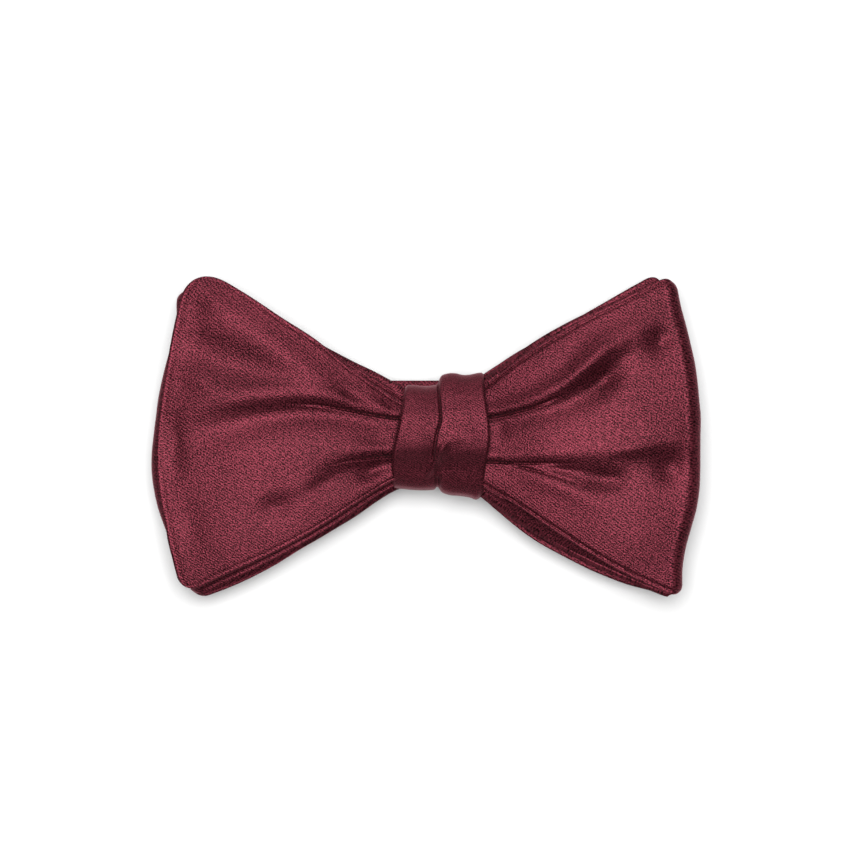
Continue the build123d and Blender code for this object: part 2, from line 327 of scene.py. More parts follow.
def gridPiece(name, positions, weave, seam=None):
    # a grid primitive whose points are then moved by the given rules
    rows, columns = positions.shape[:2]
    bpy.ops.mesh.primitive_grid_add(x_subdivisions=columns - 1, y_subdivisions=rows - 1, size=1)
    piece = bpy.context.object
    piece.name = piece.data.name = name
    flat = np.array([v.co for v in piece.data.vertices])
    column = np.rint((flat[:, 0] + 0.5) * (columns - 1)).astype(int)
    row = np.rint((flat[:, 1] + 0.5) * (rows - 1)).astype(int)
    piece.data.vertices.foreach_set("co", positions[row, column].ravel())
    for layer in list(piece.data.uv_layers):
        piece.data.uv_layers.remove(layer)
    layer = piece.data.uv_layers.new(name="weave")
    corner = np.array([loop.vertex_index for loop in piece.data.loops])
    layer.data.foreach_set("uv", weave[row[corner], column[corner]].ravel())
    if seam is not None:
        mark = piece.data.attributes.new("seam", "FLOAT", "POINT")
        mark.data.foreach_set("value", seam[row, column])
    piece.data.update()
    piece.select_set(False)
    return piece


def pick(piece):
    bpy.ops.object.select_all(action="DESELECT")
    piece.select_set(True)
    bpy.context.view_layer.objects.active = piece


def thicken(piece, thickness, offset):
    solid = piece.modifiers.new("thickness", "SOLIDIFY")
    solid.thickness = thickness * mm
    solid.offset = offset
    pick(piece)
    bpy.ops.object.modifier_apply(modifier=solid.name)
    bpy.ops.object.shade_smooth()
    piece.select_set(False)


def faceOutwards(piece, merge=0.001 * mm, closeEnds=False):
    pick(piece)
    bpy.ops.object.mode_set(mode="EDIT")
    bpy.ops.mesh.select_all(action="SELECT")
    bpy.ops.mesh.remove_doubles(threshold=merge)
    if closeEnds:
        bpy.ops.mesh.fill_holes(sides=0)
    bpy.ops.mesh.normals_make_consistent(inside=False)
    bpy.ops.object.mode_set(mode="OBJECT")
    piece.select_set(False)


def finishPiece(piece, material, body, nodes):
    piece.data.materials.clear()
    piece.data.materials.append(material)
    if body:
        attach(piece, body)
    if nodes:
        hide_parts(*nodes)


# what every leaf shares: sizes in mm, places as a share of the way out from the knot
leafShape = {
    "cloth": 1.2,
    "gather": 1.15,
    "narrow": 0.25,
    "swellPower": 2.2,
    "crownStart": 0.1,
    "crownLength": 0.5,
    "tuckStart": 0.12,
    "tuckLength": 0.2,
    "curl": 1.1,
    "curlWidth": 2.4,
    "curlStart": 0.3,
    "bladeFill": 0.1,
    "loopFill": 0.2,
}
seamLook = {"width": 0.35, "inset": 0.85, "stitchBand": 0.55, "rimDrop": 0.25, "rimWidth": 0.25}
loopTurn = {"reach": 2.6, "columns": 26}


def leafPlace(along, across, leaf):
    # where a point of the flat leaf lands, with its two outer corners rounded
    lowX, lowY = leaf["lower"]
    topX, topY = leaf["upper"]
    reach, height = leaf["length"], leaf["height"]
    for side, radius in enumerate(leaf["corners"]):
        a = np.clip(1 - (1 - along) * reach / radius, 0, 1)
        edge = across if side == 0 else 1 - across
        b = np.clip(1 - edge * height / radius, 0, 1)
        inside = (a > 0) & (b > 0)
        roundA = a * np.sqrt(1 - b * b / 2)
        roundB = b * np.sqrt(1 - a * a / 2)
        along = np.where(inside, 1 - (1 - roundA) * radius / reach, along)
        edge = np.where(inside, (1 - roundB) * radius / height, edge)
        across = edge if side == 0 else 1 - edge
    x = lowX(along) * (1 - across) + topX(along) * across
    y = lowY(along) * (1 - across) + topY(along) * across
    swell = curveThrough(leaf["outer"])(across) * np.clip(along, 0, 1) ** leafShape["swellPower"]
    return x + leaf["side"] * swell, y, across


# x, y, lift above, sink below, width, groove: along each fold line, in mm
leftFolds = [
    {"fade": 5, "groove": 0.24, "line": [
        (-2, 4.2, 0.4, 0.3, 1.3, 1.2), (-6.7, 3.9, 0.45, 0.35, 1.4, 1.5),
        (-12, 4.6, 0.6, 0.5, 1.6, 1.4), (-18, 5.8, 0.9, 0.7, 2.0, 1.0), (-25, 6.9, 1.3, 1.1, 2.4, 0.3),
        (-32, 7.0, 1.4, 1.3, 2.9, 0), (-40, 6.2, 1.3, 1.2, 3.4, 0), (-47, 4.7, 0.9, 0.8, 4.0, 0),
        (-54, 2.8, 0.4, 0.4, 4.2, 0),
    ]},
    {"fade": 4, "groove": 0.24, "line": [
        (-2, -4.4, 0.6, 0.6, 1.6, 1.1), (-8, -4.5, 0.8, 0.9, 1.8, 1.4),
        (-13, -4.9, 0.9, 1.0, 2.1, 1.0), (-18, -5.6, 0.6, 0.7, 2.6, 0.2),
        (-24, -7.2, 0.25, 0.3, 3.2, 0), (-31, -9.5, 0.05, 0.1, 3.4, 0),
    ]},
    {"fade": 6, "groove": 0.24, "line": [
        (-14, 7.4, 0.1, 0.1, 1.8, 0), (-20, 9.0, 0.3, 0.4, 2.4, 0), (-27, 12.0, 0.6, 0.6, 3.4, 0),
        (-36, 17.0, 0.9, 0.9, 4.6, 0), (-50, 23.0, 0.9, 0.9, 5.0, 0),
    ]},
]
leftDents = [
    (-33.4, -15.8, -0.9, 3.8, 2.6, 20), (-23.0, -10.8, -0.5, 3.2, 1.8, 20),
    (-28.0, -11.0, 0.25, 4.0, 2.0, 20), (-50.5, 13.4, 0.7, 5.0, 2.8, -28),
    (-47.0, 30.0, 0.5, 7.0, 2.6, -32), (-56.0, -2.0, -0.6, 2.6, 8.0, 0),
    (-44.0, -24.0, 0.4, 9.0, 6.0, 20), (-51.0, 28.5, -0.5, 3.0, 4.0, -30),
    (-12.4, -8.2, -0.7, 3.0, 1.6, 25), (-42.0, -3.0, 0.25, 8.0, 5.0, 10),
    (-16.5, 9.0, -0.35, 3.0, 1.1, -32), (-10.5, 7.0, 0.25, 2.6, 0.9, -35),
    (-8.6, 1.0, 0.25, 2.0, 2.2, 0), (-52.0, -20.0, -0.35, 3.0, 6.0, 10),
]
rightFolds = [
    {"fade": 3, "groove": 0.24, "line": [
        (6, 3.6, 0.5, 0.3, 1.3, 1.1), (13.5, 4.0, 0.7, 0.4, 1.4, 1.5), (19, 5.1, 0.8, 0.6, 1.6, 1.2),
        (25, 6.9, 1.0, 0.7, 2.0, 0.6), (30, 9.2, 1.2, 0.9, 2.5, 0), (34, 11.8, 1.6, 1.2, 3.0, 0),
        (38, 14.6, 1.6, 1.3, 3.2, 0), (41.5, 16.8, 0.8, 0.6, 3.2, 0), (45, 18.5, 0.25, 0.1, 3.2, 0),
    ]},
    {"fade": 4, "groove": 0.22, "line": [
        (6, -5.6, 0.5, 0.3, 1.3, 1.0), (13.5, -5.7, 0.6, 0.4, 1.4, 1.4),
        (20, -6.0, 0.55, 0.35, 1.6, 1.0), (27, -6.0, 0.5, 0.3, 2.0, 0.4), (34, -5.9, 0.5, 0.3, 2.6, 0),
        (42, -5.2, 0.5, 0.3, 3.0, 0), (48, -4.4, 0.6, 0.4, 3.2, 0), (54, -3.8, 0.6, 0.5, 3.2, 0),
    ]},
    {"fade": 4, "groove": 0.30, "line": [
        (17, -6.2, -0.1, -0.1, 1.2, 0.1), (22, -7.2, -0.3, -0.3, 1.5, 0.5),
        (28, -8.8, -0.5, -0.4, 1.9, 0.4), (33, -10.4, -0.5, -0.35, 2.4, 0.1),
        (40, -12.8, -0.1, -0.1, 3.0, 0),
    ]},
]
rightDents = [
    (39.4, 12.4, -0.9, 3.6, 2.8, 40), (51.4, 20.8, -1.1, 2.6, 3.2, -30),
    (53.4, -7.0, -1.1, 3.0, 3.6, 20), (44.0, 22.5, 0.6, 8.0, 3.2, 28),
    (39.5, -9.6, -1.2, 4.6, 2.3, -4), (30.0, -7.3, -0.4, 4.0, 1.0, -8),
    (30.0, 18.0, 0.4, 9.0, 4.0, 30), (47.5, 3.0, 0.4, 8.0, 5.0, 0), (46.0, -22.0, 0.5, 8.0, 7.0, -20),
    (27.0, 0.5, 0.3, 9.0, 3.0, 5), (16.0, 1.2, -0.4, 2.0, 2.2, 0), (45.5, -2.8, 0.5, 5.0, 1.8, 5),
]

# how far an outer edge swells past a straight one, by its share from low to high
leftLoopOuter = [
    (0, 0), (0.062, 1.2), (0.149, 3.4), (0.235, 5.5), (0.293, 6.7), (0.351, 7.4), (0.408, 7.7),
    (0.466, 7.5), (0.524, 6.9), (0.582, 6.2), (0.639, 5.5), (0.697, 4.5), (0.755, 3.3), (0.812, 1.9),
    (0.85, 0.6), (0.885, 0.5), (0.94, 0.4), (1, 0),
]
rightLoopOuter = [
    (0, 0), (0.112, 0.2), (0.168, 1.0), (0.223, 2.2), (0.279, 3.4), (0.335, 4.1), (0.391, 4.4),
    (0.447, 4.5), (0.503, 4.6), (0.559, 4.75), (0.615, 4.5), (0.67, 4.2), (0.726, 3.7), (0.782, 2.9),
    (0.838, 2.0), (0.894, 1.0), (0.95, 0.3), (1, 0),
]

# the cut sizes, corner radii and seam depth of each leaf, and its edges from the knot outwards, in mm
leaves = {
    "frontBlade": {
        "side": -1, "length": 57, "height": 74, "corners": (4.8, 9.2), "seam": 0.12, "arch": (1.8, 0.6),
        "folds": leftFolds, "dents": leftDents,
        "outer": [
            (0, 0), (0.053, 0.8), (0.107, 1.9), (0.16, 3.0), (0.214, 3.8), (0.29, 5.1), (0.374, 5.9),
            (0.481, 6.0), (0.578, 5.4), (0.684, 4.3), (0.808, 2.8), (0.854, 2.1), (0.93, 0.9), (1, 0),
        ],
        "lower": edgeThrough([
            (3, -8.2), (-4, -8.6), (-8.1, -10.2), (-14, -13.8), (-23.8, -20.2), (-33.7, -25.7),
            (-43.5, -30.2), (-54.3, -35.4),
        ]),
        "upper": edgeThrough([
            (3, 5.8), (-3, 6.2), (-5.7, 7.4), (-11.6, 11.3), (-18.9, 16.6), (-24, 20.9), (-32, 26.1),
            (-40, 31.4), (-44, 33.8), (-52.4, 39.2),
        ]),
    },
    "rearLoopFront": {
        "side": -1, "length": 58, "height": 70, "corners": (3.6, 3.6), "seam": 0.45, "arch": (0.8, 0.6),
        "outer": leftLoopOuter,
        "lower": edgeThrough([
            (3, -8.0), (-4, -9.4), (-7.2, -11.0), (-11.6, -13.6), (-21.4, -20.2), (-33.7, -27.2),
            (-51.8, -36.0),
        ]),
        "upper": edgeThrough([
            (3, 6.4), (-3, 7.0), (-5.3, 8.6), (-7.5, 10.0), (-16, 15.2), (-33, 25.0), (-55.2, 33.2),
        ]),
    },
    "rearLoopBack": {
        "side": -1, "length": 58, "height": 70, "corners": (3.6, 3.6), "seam": 0.45, "arch": (-1.2, 0.5),
        "outer": leftLoopOuter,
        "lower": edgeThrough([
            (3, -8.0), (-4, -10.4), (-8, -12.2), (-12, -14.8), (-16, -17.8), (-20, -20.4),
            (-24, -22.8), (-28, -25.1), (-34, -28.8), (-40, -31.9), (-51.8, -36.6),
        ]),
        "upper": edgeThrough([
            (3, 6.8), (-3, 8.4), (-5.3, 10.4), (-8, 11.9), (-12, 14.2), (-16, 16.2), (-20, 18.4),
            (-28, 22.8), (-55.2, 33.2),
        ]),
    },
    "frontLoopFront": {
        "side": 1, "length": 50, "height": 71, "corners": (3.4, 3.8), "seam": 0.45, "arch": (2.0, 0.6),
        "folds": rightFolds, "dents": rightDents,
        "outer": rightLoopOuter,
        "lower": edgeThrough([
            (3, -8.2), (9, -9.4), (14.2, -12.2), (19.1, -14.9), (26.5, -19.8), (33.9, -24.6),
            (41.2, -29.0), (56.4, -36.2),
        ]),
        "upper": edgeThrough([
            (3, 6.8), (8, 7.8), (12.7, 11.1), (21.2, 17.6), (30, 23.2), (36, 26.6), (43.2, 30.2),
            (47.6, 32.5), (55.0, 36.2),
        ]),
    },
    "frontLoopBack": {
        "side": 1, "length": 50, "height": 71, "corners": (3.8, 4.4), "seam": 0.45, "arch": (0.8, 0.6),
        "outer": rightLoopOuter,
        "lower": edgeThrough([
            (3, -8.4), (9, -10.6), (13.8, -13.6), (20.4, -18.4), (29.0, -23.8), (41.2, -30.0),
            (56.4, -36.4),
        ]),
        "upper": edgeThrough([
            (3, 7.2), (8, 8.6), (12.7, 11.8), (20.4, 17.6), (26, 21.4), (32, 24.8), (46.6, 31.4),
            (54.8, 35.7),
        ]),
    },
    "rearBlade": {
        "side": 1, "length": 48, "height": 70, "corners": (2.8, 2.8), "seam": 0.3, "arch": (-1.2, 0.5),
        "outer": [
            (0, 0), (0.1, 0.8), (0.25, 2.2), (0.4, 3.4), (0.55, 3.8), (0.7, 3.2), (0.85, 1.6), (1, 0),
        ],
        "lower": edgeThrough([
            (3, -8.6), (9, -11.4), (12, -13.6), (16, -17.0), (20, -20.3), (24, -23.2), (28, -25.5),
            (32, -27.6), (36, -29.6), (40, -31.3), (44, -32.8), (48, -33.9), (55.4, -35.6),
        ]),
        "upper": edgeThrough([
            (3, 7.6), (8, 9.6), (12, 13.3), (16, 16.0), (20, 18.6), (24, 20.8), (32, 25.4), (40, 30.0),
            (44, 32.3), (51.4, 36.4),
        ]),
    },
}

# height of each leaf's middle over the way out from the knot, in mm
leafHeights = {
    "frontBlade": curveThrough([(0, 21.0), (0.18, 21.6), (0.45, 23.6), (0.75, 23.2), (1, 21.2)]),
    "rearLoopFront": curveThrough([(0, 18.4), (0.2, 18.8), (0.5, 19.2), (0.8, 18.6), (1, 17.2)]),
    "rearLoopBack": curveThrough([(0, 13.8), (0.2, 13.4), (0.5, 12.4), (0.8, 12.0), (1, 12.6)]),
    "frontLoopFront": curveThrough([(0, 21.2), (0.18, 21.8), (0.45, 24.0), (0.75, 24.2), (1, 22.6)]),
    "frontLoopBack": curveThrough([(0, 17.0), (0.2, 17.0), (0.5, 16.6), (0.8, 16.4), (1, 16.8)]),
    "rearBlade": curveThrough([(0, 13.8), (0.2, 13.4), (0.5, 12.2), (0.8, 11.8), (1, 11.8)]),
}


def inFromEdge(along, across, leaf):
    # distance in from the long edges; the leaf is narrower near the knot
    narrow = leafShape["narrow"]
    return np.minimum(across, 1 - across) * leaf["height"] * (narrow + (1 - narrow) * along)


def leafSurface(key, along, across):
    leaf = leaves[key]
    x, y, roundAcross = leafPlace(along, across, leaf)
    arch, level = leaf["arch"]
    crown = smooth((along - leafShape["crownStart"]) / leafShape["crownLength"])
    z = leafHeights[key](along) + arch * crown * (4 * roundAcross * (1 - roundAcross) - level)
    if "folds" in leaf:
        # both long edges of a front leaf bend back under the knot
        atKnot = 1 - smooth((along - leafShape["tuckStart"]) / leafShape["tuckLength"])
        z = z - atKnot * np.abs(2 * across - 1) ** 4
        z = z + foldHeight(x, y, leaf["folds"]) + dentHeight(x, y, leaf["dents"])
    else:
        # a rear leaf bows back where it stands out past the one in front
        atEdge = hump(inFromEdge(along, across, leaf), leafShape["curlWidth"])
        z = z - leafShape["curl"] * atEdge * smooth(along / leafShape["curlStart"])
    return np.stack([x, y, z], axis=-1)


def leafGrid(columns, rows, last=1.0):
    # closer columns of points near the knot, where the folds are
    along = np.linspace(0, 1, columns) ** leafShape["gather"] * last
    across = np.linspace(0, 1, rows)
    return np.meshgrid(along, across)


def weaveMap(key, along, surface):
    # threads keep their real spacing where the leaf is pleated together at the knot
    leaf = leaves[key]
    return np.stack([along * leaf["side"] * leaf["length"] * mm, surface[..., 1] * mm], axis=-1)


def sinkSeam(surface, along, across, key, sewnEnd):
    # a sunk seam line runs just inside the sewn edges and leaves a rim outside it
    leaf = leaves[key]
    fromEdge = inFromEdge(along, across, leaf)
    if sewnEnd:
        fromEdge = np.minimum(fromEdge, (1 - along) * leaf["length"])
    surface[..., 2] -= leaf["seam"] * hump(fromEdge - seamLook["inset"], seamLook["width"])
    surface[..., 2] -= seamLook["rimDrop"] * hump(fromEdge, seamLook["rimWidth"])
    return np.exp(-(fromEdge / seamLook["stitchBand"]) ** 4)


def finishLeaf(piece, key, nodes):
    thicken(piece, leafShape["cloth"], -1 if leaves[key]["side"] > 0 else 1)
    faceOutwards(piece)
    finishPiece(piece, satin, "bow", nodes)


def makeBlade(name, key, nodes, columns, rows):
    along, across = leafGrid(columns, rows)
    surface = leafSurface(key, along, across)
    seam = sinkSeam(surface, along, across, key, True)
    piece = gridPiece(name, surface * mm, weaveMap(key, along, surface), seam)
    finishLeaf(piece, key, nodes)


def makeLoop(name, frontKey, backKey, nodes, columns, rows):
    # front leaf, a rounded turn at the outer edge, then the back leaf
    last = 1 - loopTurn["reach"] / leaves[frontKey]["length"]
    along, across = leafGrid(columns, rows, last)
    front = leafSurface(frontKey, along, across)
    backAlong, backAcross = leafGrid(columns // 2, rows, last)
    back = leafSurface(backKey, backAlong, backAcross)[:, ::-1]
    angle = np.linspace(0, math.pi, loopTurn["columns"] + 2)[1:-1]
    turnAngle, turnAcross = np.meshgrid(angle, np.linspace(0, 1, rows))
    turnAlong = last + (1 - last) * np.sin(turnAngle)
    share = smooth(turnAngle / math.pi)[..., None]
    bend = leafSurface(frontKey, turnAlong, turnAcross) * (1 - share)
    bend += leafSurface(backKey, turnAlong, turnAcross) * share
    top, bottom = front[:, -1:, 2], back[:, :1, 2]
    bend[..., 2] = (top + bottom) / 2 + (top - bottom) / 2 * np.cos(turnAngle)
    surface = np.concatenate([front, bend, back], axis=1)
    turnWay = last + 2 * (1 - last) * turnAngle / math.pi
    ways = np.concatenate([along, turnWay, 2 - backAlong[:, ::-1]], axis=1)
    allAcross = np.concatenate([across, turnAcross, backAcross], axis=1)
    seam = sinkSeam(surface, np.minimum(ways, 1), allAcross, frontKey, False)
    piece = gridPiece(name, surface * mm, weaveMap(frontKey, ways, surface), seam)
    finishLeaf(piece, frontKey, nodes)


def layers(part, *names):
    return [part + "_" + name for name in names]


makeBlade("front_blade", "frontBlade", layers("front_blade", "face", "interlining", "back"), 190, 230)
rearLayers = layers("rear_loop", "face", "interlining", "lining")
makeLoop("rear_loop", "rearLoopFront", "rearLoopBack", rearLayers, 90, 120)
frontLayers = layers("front_loop", "face", "interlining", "lining")
makeLoop("front_loop", "frontLoopFront", "frontLoopBack", frontLayers, 144, 190)
makeBlade("rear_blade", "rearBlade", layers("rear_blade", "face", "interlining", "back"), 90, 120)
print("wings made")


# sizes in mm; the folds of the wrap are set by how far they rise and how wide they are
knotLook = {
    "bottom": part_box("knot_wrap")[0].z / mm,
    "top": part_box("knot_wrap")[1].z / mm + 0.6,
    "half": 12,
    "cloth": 1.0,
    "stripWidth": 20.6,
    "stripLength": 70,
    "leftStep": (-0.35, 1.6),
    "rightStep": (0.5, 4.0),
    "groove": (-1.2, 0.2),
    "creaseEnd": (-6.5, 3.0),
    "notch": (-1.0, 0.5),
    "notchPlace": (2.2, -8.6, 1.5),
    "leftRim": (-0.55, 0.35),
    "rightRim": (-0.5, 0.3),
    "ridge": (0.9, 1.0),
    "ridgeSides": ((-0.3, 2.4, 1.5), (-0.1, -2.0, 1.3)),
    "ridgeTop": (3.7, -2.0),
    "ridgeSlant": 0.5,
    "ridgeEnds": ((-9.6, 2.6), (-0.2, 3.0)),
    "frontFrom": (0.4, 0.25),
    "roundness": 2.2,
    "middle": 0.45,
    "sideLift": 0.7,
    "fill": 0.5,
}
# two broad swells and the soft pulls in the wrap: x, y, height, half sizes, turn
knotSwells = ((-2.5, 0.35, 3.4), (8.2, 0.45, 3.8))
knotPulls = [
    (-3.2, -0.6, 0.35, 4.5, 2.2, -14), (8.4, -0.4, 0.40, 4.5, 2.2, -14), (-4.2, 6.8, -0.2, 3, 1.6, 0),
    (-3.0, -6.4, -0.4, 4.2, 2.6, -12), (7.5, -6.6, -0.5, 4.5, 3.0, 0), (6.0, 7.2, -0.2, 4.0, 1.6, 10),
]
knotTopEdge = curveThrough([
    (-8.5, 11.0), (-4.2, 11.2), (1.2, 11.2), (2.3, 11.6), (3.0, 12.9), (4.3, 13.6), (6.2, 13.7),
    (8.0, 13.3), (9.4, 13.4), (11.0, 13.8), (12.4, 14.0), (14, 14.0),
])
knotLowEdge = curveThrough([
    (-8.5, -11.3), (-6, -11.6), (0.7, -11.9), (1.6, -11.8), (2.3, -11.2), (3.2, -12.3), (4.6, -12.9),
    (7.3, -13.2), (9.6, -13.6), (10.9, -14.0), (12, -13.4), (14, -12.8),
])
knotLeftEdge = curveThrough([
    (-13, -7.5), (-9, -7.8), (-4.4, -7.7), (0, -6.9), (4, -6.1), (10, -5.1), (13, -4.6),
])
knotRightEdge = curveThrough([
    (-15, 11.6), (-13.5, 12.0), (-11.5, 12.4), (-6, 12.9), (-2, 13.7), (0, 13.9), (4, 13.5), (8, 12.8),
    (11, 12.5), (14, 12.5),
])
knotCrease = curveThrough([
    (-13, 2.3), (-9.5, 2.1), (-7.5, 1.0), (-4, 1.5), (0, 2.1), (4, 3.0), (6.8, 2.8), (11, 2.5),
    (14, 2.4),
])
# the knot's section, from its top edge over the front to the lower edge and back
knotSection = closedCurve([
    (1.0, 0.43), (0.99, 0.57), (0.94, 0.70), (0.85, 0.80), (0.72, 0.875), (0.58, 0.93), (0.42, 0.968),
    (0.22, 0.99), (0.02, 1.003), (-0.14, 1.0), (-0.25, 0.982), (-0.36, 0.935), (-0.50, 0.86),
    (-0.66, 0.778), (-0.81, 0.695), (-0.93, 0.59), (-0.99, 0.44), (-1.0, 0.30), (-0.93, 0.12),
    (-0.76, 0.02), (-0.45, 0.0), (-0.1, 0.0), (0.25, 0.0), (0.6, 0.0), (0.87, 0.06), (0.98, 0.24),
])


def rise(shape, distance):
    # the shape is how high it rises and how wide it is
    return shape[0] * hump(distance, shape[1])


def wrapRelief(x, y):
    # the right fold lies over the left one along the crease
    fromCrease = x - knotCrease(y)
    low, lowFade = knotLook["leftStep"]
    high, highFade = knotLook["rightStep"]
    step = np.where(fromCrease < 0, low * np.exp(fromCrease / lowFade), high * np.exp(-fromCrease / highFade))
    creaseLow, creaseFade = knotLook["creaseEnd"]
    crease = smooth((y - creaseLow) / creaseFade)
    notchX, notchY, notchFade = knotLook["notchPlace"]
    notch = rise(knotLook["notch"], x - notchX) * smooth((notchY - y) / notchFade)
    swell = sum(height * hump(x - place, width) for place, height, width in knotSwells)
    # a taut ridge runs down from the crease to the lower left
    topX, topY = knotLook["ridgeTop"]
    (lowEnd, lowSoft), (highEnd, highSoft) = knotLook["ridgeEnds"]
    fromRidge = x - (topX - knotLook["ridgeSlant"] * np.clip(topY - y, -2, 8))
    inReach = smooth((y - lowEnd) / lowSoft) * smooth((highEnd - y) / highSoft)
    ridge = rise(knotLook["ridge"], fromRidge)
    for height, place, width in knotLook["ridgeSides"]:
        ridge = ridge + height * hump(fromRidge - place, width)
    folds = (step + rise(knotLook["groove"], fromCrease)) * crease
    return folds + swell + dentHeight(x, y, knotPulls) + inReach * ridge + notch


def makeKnot(columns=150, rows=290):
    share, turn = np.meshgrid(np.linspace(0, 1, columns), np.linspace(0, 1, rows))
    section = knotSection(turn)
    ySign, height = section[..., 0], section[..., 1]
    y = ySign * knotLook["half"]
    left, right = knotLeftEdge(y), knotRightEdge(y)
    x = left + (right - left) * share
    y = np.where(ySign > 0, knotTopEdge(x) * ySign, -knotLowEdge(x) * ySign)
    z = knotLook["bottom"] + (knotLook["top"] - knotLook["bottom"]) * height
    # folds are on the front only, and the wrap rolls under at both rims
    frontLow, frontFade = knotLook["frontFrom"]
    front = smooth((height - frontLow) / frontFade)
    rims = rise(knotLook["leftRim"], x - left) + rise(knotLook["rightRim"], right - x)
    lift = front * wrapRelief(x, y) + rims
    normalY = np.sign(ySign) * np.abs(ySign) ** knotLook["roundness"]
    normalZ = (height - knotLook["middle"]) * 2
    size = np.sqrt(normalY ** 2 + normalZ ** 2) + tiny
    y = y + lift * normalY / size * knotLook["sideLift"]
    z = z + lift * normalZ / size
    surface = np.stack([x, y, z], axis=-1)
    weave = np.stack([share * knotLook["stripWidth"] * mm, -turn * knotLook["stripLength"] * mm], axis=-1)
    piece = gridPiece("knot_wrap_cloth", surface * mm, weave)
    faceOutwards(piece)
    thicken(piece, knotLook["cloth"], -1)
    finishPiece(piece, satin, "bow", ["knot_wrap", "knot_interlining"])


makeKnot()


def unitRows(rows):
    return rows / (np.linalg.norm(rows, axis=1)[:, None] + tiny)


def tubeAlong(line, radius, sides=8):
    # a round thread along a line of points, in mm
    line = np.array(line, float)
    ahead = unitRows(np.gradient(line, axis=0))
    across = unitRows(np.cross(ahead, [1.0, 0.02, 0.03]))
    up = np.cross(ahead, across)
    angle = np.linspace(0, 2 * math.pi, sides + 1)[:, None, None]
    return line[None] + radius * (np.cos(angle) * across[None] + np.sin(angle) * up[None])


def threadPiece(name, tubes, nodes):
    made = []
    for tube in tubes:
        rows, columns = tube.shape[:2]
        along, around = np.meshgrid(np.linspace(0, 10 * mm, columns), np.linspace(0, mm, rows))
        made.append(gridPiece(name, tube * mm, np.stack([along, around], axis=-1)))
    pick(made[0])
    for piece in made:
        piece.select_set(True)
    bpy.ops.object.join()
    piece = bpy.context.object
    piece.name = name
    faceOutwards(piece, merge=0.01 * mm, closeEnds=True)
    pick(piece)
    bpy.ops.object.shade_smooth()
    piece.select_set(False)
    finishPiece(piece, sewingThread, "bow", nodes)


# threads wound round the gathered leaves, inside the knot
bindingLook = {
    "turns": 5, "pitch": 0.5, "radius": 0.28, "halfHeight": 8.3, "low": 12.6, "high": 21.6, "flatness": 2.6,
    "points": 65,
}


def squashed(wave):
    return np.sign(wave) * np.abs(wave) ** (2 / bindingLook["flatness"])


def makeBinding():
    start, end = [corner.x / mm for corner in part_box("waist_binding")]
    low, high = bindingLook["low"], bindingLook["high"]
    share = np.linspace(0, 1, bindingLook["points"])
    around = share * 2 * math.pi
    y = bindingLook["halfHeight"] * squashed(np.cos(around))
    z = (low + high) / 2 + (high - low) / 2 * squashed(np.sin(around))
    tubes = []
    for i in range(bindingLook["turns"]):
        x = start + (end - start) * (i + 0.5) / bindingLook["turns"] + bindingLook["pitch"] * share
        tubes.append(tubeAlong(np.stack([x, y, z], axis=-1), bindingLook["radius"]))
    threadPiece("waist_binding_threads", tubes, ["waist_binding"])


makeBinding()

# slip stitches that close the wrap, under the knot's lower rim
stitchLook = {
    "count": 5, "pitch": 1.3, "margin": 0.25, "radius": 0.16, "from": 0.705, "to": 0.725, "points": 9,
}


def makeWrapStitches():
    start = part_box("wrap_stitches")[0].x / mm + stitchLook["margin"]
    tubes = []
    for i in range(stitchLook["count"]):
        x = start + i * stitchLook["pitch"]
        path = []
        for share in np.linspace(stitchLook["from"], stitchLook["to"], stitchLook["points"]):
            y, height = knotSection(np.array([share]))[0]
            z = knotLook["bottom"] + (knotLook["top"] - knotLook["bottom"]) * height
            path.append((x, -knotLowEdge(x) * y, z))
        tubes.append(tubeAlong(path, stitchLook["radius"]))
    threadPiece("wrap_slip_stitches", tubes, ["wrap_stitches"])


makeWrapStitches()
print("knot made")


# lengths in metres, angles in degrees; the climb is the strap's way over the slide's bar
bandLook = {
    "sides": 14,
    "straightSteps": 2,
    "edgeCrowding": 0.75,
    "smoothAngle": 50,
    "climb": 52,
    "tailWrap": 345,
    "nearSlide": 0.6 * mm,
    "nearBar": 1.2 * mm,
    "tailFlat": 0.45,
    "tackRoom": 1.3 * mm,
}


def lineTo(path, end):
    start = path[-1]
    count = bandLook["straightSteps"]
    for i in range(1, count + 1):
        path.append((start[0] + (end[0] - start[0]) * i / count, start[1] + (end[1] - start[1]) * i / count))


def turnRound(path, centre, degrees, count=18):
    start = path[-1]
    dx, dz = start[0] - centre[0], start[1] - centre[1]
    for i in range(1, count + 1):
        angle = math.radians(degrees) * i / count
        c, s = math.cos(angle), math.sin(angle)
        path.append((centre[0] + dx * c - dz * s, centre[1] + dx * s + dz * c))


def straight(*places):
    path = [places[0]]
    for place in places[1:]:
        lineTo(path, place)
    return path


def bandSection(thickness, width):
    # a flat section with round edges, as a closed ring of (across, up) places
    half, wide = thickness / 2, width / 2
    across = np.linspace(-1, 1, bandLook["sides"] + 1)
    across = np.sign(across) * np.abs(across) ** bandLook["edgeCrowding"]
    intoEdge = ((np.abs(across) * wide - (wide - half)) / half).clip(0, 1)
    up = half * np.sqrt(np.clip(1 - intoEdge ** 2, 0, 1))
    upper = list(zip(across * wide, up))
    lower = list(zip(across * wide, -up))[::-1][1:-1]
    return np.array(upper + lower + upper[:1])


